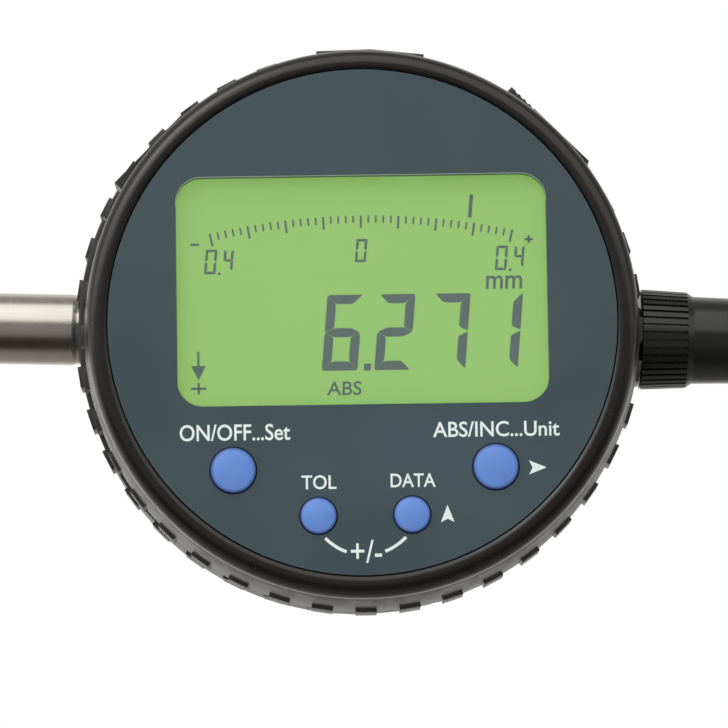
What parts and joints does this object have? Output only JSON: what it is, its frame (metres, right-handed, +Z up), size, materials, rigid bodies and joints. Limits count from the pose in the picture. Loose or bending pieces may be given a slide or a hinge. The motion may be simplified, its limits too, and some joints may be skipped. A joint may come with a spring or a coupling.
{
  "type": "digital dial indicator",
  "caption": "Digital dial indicator: a round turning display head with domed keys on a rear body, with a clamping stem, a sprung spindle with ball point, and a guard cap.",
  "frame": {"origin": "On the stem's axis, at the middle of its straight clamping length.", "axes": "+X runs along the spindle, away from the contact point. +Z is up on the display and the face looks along -Y."},
  "size_m": [0.1298, 0.0274, 0.0638],
  "materials": {
    "body_plastic": "fine moulded matt black",
    "cover_plastic": "flat matt plate",
    "stem_steel": "ground stainless steel",
    "bush_brass": "turned bearing brass",
    "seal_rubber": "soft black rubber",
    "cap_plastic": "smooth moulded black",
    "ground_steel": "hardened and ground steel",
    "point_steel": "turned and knurled steel",
    "carbide": "lapped carbide",
    "screw_steel": "plain steel screws",
    "board_green": "solder mask on glass fibre",
    "chip_black": "moulded chip package",
    "washer_white": "slippery white washer",
    "spring_steel": "drawn spring wire",
    "flex_amber": "amber flexible film",
    "carrier_metal": "milled aluminium",
    "scale_glass": "coated glass strip",
    "head_plastic": "moulded satin black",
    "bezel_plastic": "smooth satin black-brown",
    "panel_plastic": "dark blue-grey sheet",
    "window_clear": "clear window",
    "lcd_green": "yellow-green liquid crystal display",
    "light_guide": "frosted light guide",
    "frame_white": "white moulded frame",
    "socket_cream": "cream connector plastic",
    "contact_gold": "gold-plated contacts",
    "key_blue": "satin blue key",
    "drawer_plastic": "moulded black drawer",
    "cell_steel": "nickel-plated cell",
    "port_plastic": "moulded black cover"
  },
  "bodies": {
    "body": {"body_shell": "body_plastic", "back_cover": "cover_plastic", "cover_screws": "screw_steel", "stem": "stem_steel", "lower_bush": "bush_brass", "stem_wiper": "seal_rubber", "upper_bush": "bush_brass", "guard_cap": "cap_plastic", "guide_rail": "ground_steel", "sensor_board": "board_green", "sensor_chip": "chip_black", "board_screws": "screw_steel", "friction_washer": "washer_white", "swivel_bush": "bush_brass", "swivel_screws": "screw_steel", "stop_pin": "ground_steel", "return_spring": "spring_steel", "flex_cable": "flex_amber"},
    "spindle": {"spindle": "ground_steel", "contact_point": "point_steel", "contact_ball": "carbide", "scale_carrier": "carrier_metal", "carrier_screw": "screw_steel", "glass_scale": "scale_glass"},
    "head": {"head_shell": "head_plastic", "bezel_ring": "bezel_plastic", "face_panel": "panel_plastic", "panel_gasket": "seal_rubber", "display_window": "window_clear", "lcd_panel": "lcd_green", "backlight_plate": "light_guide", "lcd_frame": "frame_white", "contact_strips": "seal_rubber", "display_board": "board_green", "board_chips": "chip_black", "flex_socket": "socket_cream", "key_switches": "spring_steel", "head_rear_plate": "head_plastic", "plate_screws": "screw_steel", "port_block": "socket_cream", "port_contacts": "contact_gold", "battery_contacts": "contact_gold"},
    "power_key": {"power_key": "key_blue"},
    "mode_key": {"mode_key": "key_blue"},
    "tolerance_key": {"tolerance_key": "key_blue"},
    "data_key": {"data_key": "key_blue"},
    "battery_drawer": {"battery_drawer": "drawer_plastic", "battery_cell": "cell_steel"},
    "port_cover": {"port_cover": "port_plastic"}
  },
  "joints": [
    {"name": "spindle_slide", "type": "slide", "parent": "body", "child": "spindle", "axis": [1, 0, 0], "range_m": [0, 0.0125], "stiffness_N_per_m": 30, "springref_m": -0.022, "deforming": ["return_spring"]},
    {"name": "head_turn", "type": "hinge", "parent": "body", "child": "head", "pos_m": [0.04295, 0, -0.001], "axis": [0, 1, 0], "range_deg": [-45, 225]},
    {"name": "power_press", "type": "slide", "parent": "head", "child": "power_key", "axis": [0, 1, 0], "range_m": [0, 0.0004], "stiffness_N_per_m": 1500, "springref_m": -0.0003},
    {"name": "mode_press", "type": "slide", "parent": "head", "child": "mode_key", "axis": [0, 1, 0], "range_m": [0, 0.0004], "stiffness_N_per_m": 1500, "springref_m": -0.0003},
    {"name": "tolerance_press", "type": "slide", "parent": "head", "child": "tolerance_key", "axis": [0, 1, 0], "range_m": [0, 0.0004], "stiffness_N_per_m": 1500, "springref_m": -0.0003},
    {"name": "data_press", "type": "slide", "parent": "head", "child": "data_key", "axis": [0, 1, 0], "range_m": [0, 0.0004], "stiffness_N_per_m": 1500, "springref_m": -0.0003},
    {"name": "battery_drawer_slide", "type": "slide", "parent": "head", "child": "battery_drawer", "axis": [-0.729, 0, 0.6845], "range_m": [0, 0.022]},
    {"name": "port_cover_pull", "type": "slide", "parent": "head", "child": "port_cover", "axis": [0.6845, 0, 0.729], "range_m": [0, 0.012]}
  ]
}
